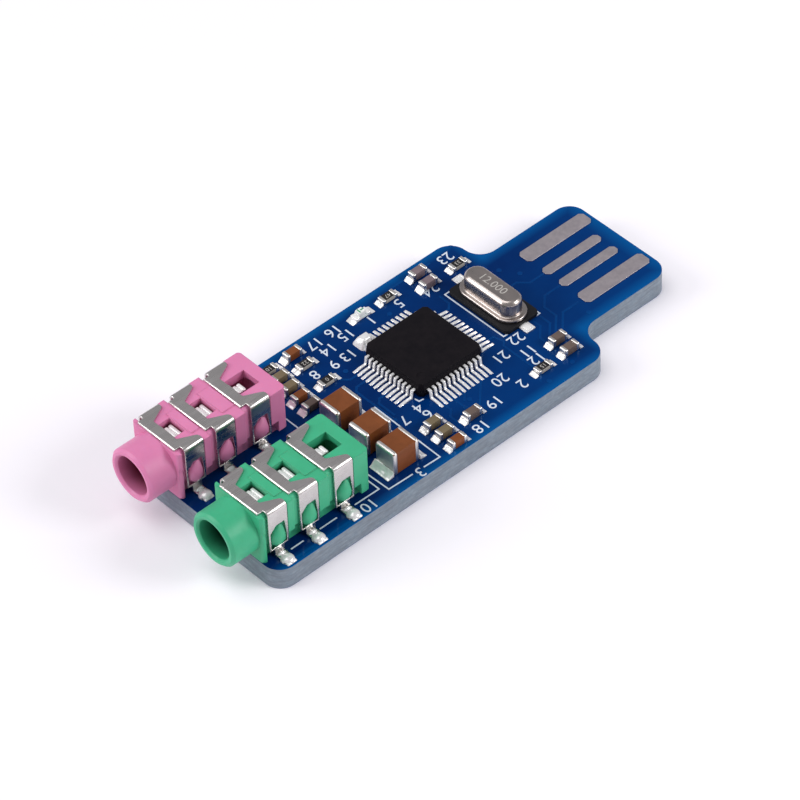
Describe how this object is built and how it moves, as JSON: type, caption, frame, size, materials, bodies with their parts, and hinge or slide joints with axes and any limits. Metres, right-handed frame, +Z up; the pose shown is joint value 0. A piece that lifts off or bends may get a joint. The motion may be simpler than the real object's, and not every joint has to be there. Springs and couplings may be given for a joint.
{
  "type": "usb audio interface",
  "caption": "Bare circuit board with two coloured audio jacks at one end, a codec chip with its crystal and small parts, and a plug tongue at the other end.",
  "frame": {"origin": "on the underside of the board, below the middle of the whole thing", "axes": "+X from the jack mouths to the plug tongue, +Y towards the microphone jack, +Z up from the board"},
  "size_m": [0.0496, 0.019, 0.0073],
  "materials": {
    "chip_leads_headphone_side": "bright tin plating",
    "chip_leads_jack_side": "bright tin plating",
    "chip_leads_microphone_side": "bright tin plating",
    "chip_leads_plug_side": "bright tin plating",
    "chip_solder": "bright solder",
    "circuit_board": "glass laminate under a glossy blue mask",
    "codec_chip": "moulded resin, fine grain",
    "crystal_can": "drawn nickel-plated sheet",
    "crystal_leads": "bright tin plating",
    "crystal_seat": "black insulator",
    "crystal_solder": "bright solder",
    "data_minus_contact": "thin gold over nickel",
    "data_plus_contact": "thin gold over nickel",
    "green_jack_housing": "moulded, slightly glossy",
    "green_jack_solder": "bright solder",
    "green_ring_spring": "bright tin plating",
    "green_sleeve_spring": "bright tin plating",
    "green_tip_spring": "bright tin plating",
    "ground_contact": "thin gold over nickel",
    "lamp_body": "white",
    "lamp_ends": "bright tin plating",
    "lamp_lens": "clear resin",
    "lamp_solder": "bright solder",
    "large_capacitor_1": "brown fired ceramic",
    "large_capacitor_2": "brown fired ceramic",
    "large_capacitor_3": "brown fired ceramic",
    "large_capacitor_ends": "bright tin plating",
    "large_capacitor_solder": "bright solder",
    "pink_jack_housing": "moulded, slightly glossy",
    "pink_jack_solder": "bright solder",
    "pink_ring_spring": "bright tin plating",
    "pink_sleeve_spring": "bright tin plating",
    "pink_tip_spring": "bright tin plating",
    "power_contact": "thin gold over nickel",
    "resistor_1": "dark glaze on a white core",
    "resistor_2": "dark glaze on a white core",
    "resistor_3": "dark glaze on a white core",
    "resistor_4": "dark glaze on a white core",
    "resistor_5": "dark glaze on a white core",
    "resistor_6": "dark glaze on a white core",
    "resistor_ends": "bright tin plating",
    "resistor_solder": "bright solder",
    "small_capacitor_1": "fired ceramic, fine grain",
    "small_capacitor_10": "fired ceramic, fine grain",
    "small_capacitor_11": "fired ceramic, fine grain",
    "small_capacitor_12": "fired ceramic, fine grain",
    "small_capacitor_13": "fired ceramic, fine grain",
    "small_capacitor_2": "fired ceramic, fine grain",
    "small_capacitor_3": "fired ceramic, fine grain",
    "small_capacitor_4": "fired ceramic, fine grain",
    "small_capacitor_5": "fired ceramic, fine grain",
    "small_capacitor_6": "fired ceramic, fine grain",
    "small_capacitor_7": "fired ceramic, fine grain",
    "small_capacitor_8": "fired ceramic, fine grain",
    "small_capacitor_9": "fired ceramic, fine grain",
    "small_capacitor_ends": "bright tin plating",
    "small_capacitor_solder": "bright solder"
  },
  "bodies": {
    "root": {"chip_leads_headphone_side": "chip_leads_headphone_side", "chip_leads_jack_side": "chip_leads_jack_side", "chip_leads_microphone_side": "chip_leads_microphone_side", "chip_leads_plug_side": "chip_leads_plug_side", "chip_solder": "chip_solder", "circuit_board": "circuit_board", "codec_chip": "codec_chip", "crystal_can": "crystal_can", "crystal_leads": "crystal_leads", "crystal_seat": "crystal_seat", "crystal_solder": "crystal_solder", "data_minus_contact": "data_minus_contact", "data_plus_contact": "data_plus_contact", "green_jack_housing": "green_jack_housing", "green_jack_solder": "green_jack_solder", "green_ring_spring": "green_ring_spring", "green_sleeve_spring": "green_sleeve_spring", "green_tip_spring": "green_tip_spring", "ground_contact": "ground_contact", "lamp_body": "lamp_body", "lamp_ends": "lamp_ends", "lamp_lens": "lamp_lens", "lamp_solder": "lamp_solder", "large_capacitor_1": "large_capacitor_1", "large_capacitor_2": "large_capacitor_2", "large_capacitor_3": "large_capacitor_3", "large_capacitor_ends": "large_capacitor_ends", "large_capacitor_solder": "large_capacitor_solder", "pink_jack_housing": "pink_jack_housing", "pink_jack_solder": "pink_jack_solder", "pink_ring_spring": "pink_ring_spring", "pink_sleeve_spring": "pink_sleeve_spring", "pink_tip_spring": "pink_tip_spring", "power_contact": "power_contact", "resistor_1": "resistor_1", "resistor_2": "resistor_2", "resistor_3": "resistor_3", "resistor_4": "resistor_4", "resistor_5": "resistor_5", "resistor_6": "resistor_6", "resistor_ends": "resistor_ends", "resistor_solder": "resistor_solder", "small_capacitor_1": "small_capacitor_1", "small_capacitor_10": "small_capacitor_10", "small_capacitor_11": "small_capacitor_11", "small_capacitor_12": "small_capacitor_12", "small_capacitor_13": "small_capacitor_13", "small_capacitor_2": "small_capacitor_2", "small_capacitor_3": "small_capacitor_3", "small_capacitor_4": "small_capacitor_4", "small_capacitor_5": "small_capacitor_5", "small_capacitor_6": "small_capacitor_6", "small_capacitor_7": "small_capacitor_7", "small_capacitor_8": "small_capacitor_8", "small_capacitor_9": "small_capacitor_9", "small_capacitor_ends": "small_capacitor_ends", "small_capacitor_solder": "small_capacitor_solder"}
  },
  "joints": []
}
